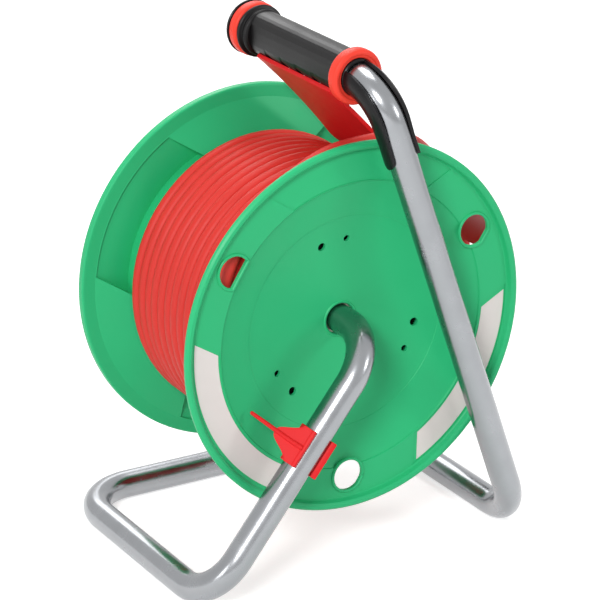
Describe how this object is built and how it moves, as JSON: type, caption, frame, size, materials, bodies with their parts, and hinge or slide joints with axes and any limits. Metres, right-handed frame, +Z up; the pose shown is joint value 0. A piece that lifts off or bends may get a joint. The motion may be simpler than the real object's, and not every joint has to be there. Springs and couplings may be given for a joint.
{
  "type": "cable reel",
  "caption": "Portable cable reel: a green drum of red extension lead on a bent steel tube stand, with covered sockets, a rear handle and a red cable guide.",
  "frame": {"origin": "on the floor under the middle of the bounding box of everything but the hanging lead and its plug", "axes": "+Z up, -Y out of the rear flange (the side without sockets), +X from the axle leg to the handle leg"},
  "size_m": [0.3384, 0.238, 0.4033],
  "materials": {
    "tube_steel": "satin zinc",
    "small_steel": "satin",
    "black_plastic": "satin",
    "grip_black": "satin",
    "ring_red": "satin",
    "guide_red": "satin",
    "drum_green": "satin",
    "bush_white": "matte",
    "cable_red": "satin",
    "socket_black": "satin",
    "contact_brass": "polished",
    "label_white": "matte"
  },
  "bodies": {
    "frame": {"axle_bar": "tube_steel", "axle_leg": "tube_steel", "back_bar": "tube_steel", "handle_leg": "tube_steel", "axle_washer": "small_steel", "axle_collar": "black_plastic", "axle_cross_pin": "small_steel", "axle_end_plug": "black_plastic", "handle_grip": "grip_black", "handle_fork": "black_plastic", "fork_prongs": "black_plastic", "ring_near": "ring_red", "ring_far": "ring_red", "handle_end_cap": "black_plastic", "cable_guide": "guide_red", "lead": "cable_red", "plug_body": "black_plastic", "plug_pins": "small_steel", "plug_earth_strips": "small_steel"},
    "drum": {"rear_flange": "drum_green", "front_flange": "drum_green", "barrel": "drum_green", "rear_bush": "bush_white", "inner_bush": "bush_white", "drum_screws": "black_plastic", "winding_core": "cable_red", "cable_layer": "cable_red", "socket_panel": "socket_black", "socket_cup_1": "socket_black", "socket_cup_2": "socket_black", "socket_cup_3": "socket_black", "socket_contacts": "contact_brass", "earth_clips": "contact_brass", "panel_screws": "small_steel", "lid_pins": "small_steel", "lid_springs": "small_steel", "cutout_housing": "black_plastic", "cutout_spring": "small_steel", "knob_bolt": "small_steel", "label_left": "label_white", "label_right": "label_white"},
    "lid_1": {"lid_1": "socket_black"},
    "lid_2": {"lid_2": "socket_black"},
    "lid_3": {"lid_3": "socket_black"},
    "knob": {"crank_knob": "black_plastic"},
    "button": {"cutout_button": "guide_red"},
    "brake": {"brake_clip": "guide_red"}
  },
  "joints": [
    {"name": "drum_spin", "type": "hinge", "parent": "frame", "child": "drum", "pos_m": [-0.0056, 0, 0.191], "axis": [0, 1, 0], "continuous": true},
    {"name": "lid_1_hinge", "type": "hinge", "parent": "drum", "child": "lid_1", "pos_m": [-0.0056, 0.062, 0.2499], "axis": [1, 0, 0], "range_deg": [0, 110], "stiffness_Nm_per_rad": 0.02, "springref_deg": -34.38},
    {"name": "lid_2_hinge", "type": "hinge", "parent": "drum", "child": "lid_2", "pos_m": [0.04541, 0.062, 0.16155], "axis": [-0.5, 0, -0.866], "range_deg": [0, 110], "stiffness_Nm_per_rad": 0.02, "springref_deg": -34.38},
    {"name": "lid_3_hinge", "type": "hinge", "parent": "drum", "child": "lid_3", "pos_m": [-0.05661, 0.062, 0.16155], "axis": [-0.5, 0, 0.866], "range_deg": [0, 110], "stiffness_Nm_per_rad": 0.02, "springref_deg": -34.38},
    {"name": "knob_turn", "type": "hinge", "parent": "drum", "child": "knob", "pos_m": [0.08479, 0.09, 0.11515], "axis": [0, 1, 0], "continuous": true},
    {"name": "button_press", "type": "slide", "parent": "drum", "child": "button", "axis": [0, -1, 0], "range_m": [0, 0.002], "stiffness_N_per_m": 400, "springref_m": -0.002},
    {"name": "brake_swing", "type": "hinge", "parent": "frame", "child": "brake", "pos_m": [-0.0056, -0.106, 0.191], "axis": [0.6112, 0, 0.7915], "range_deg": [0, 75]}
  ]
}
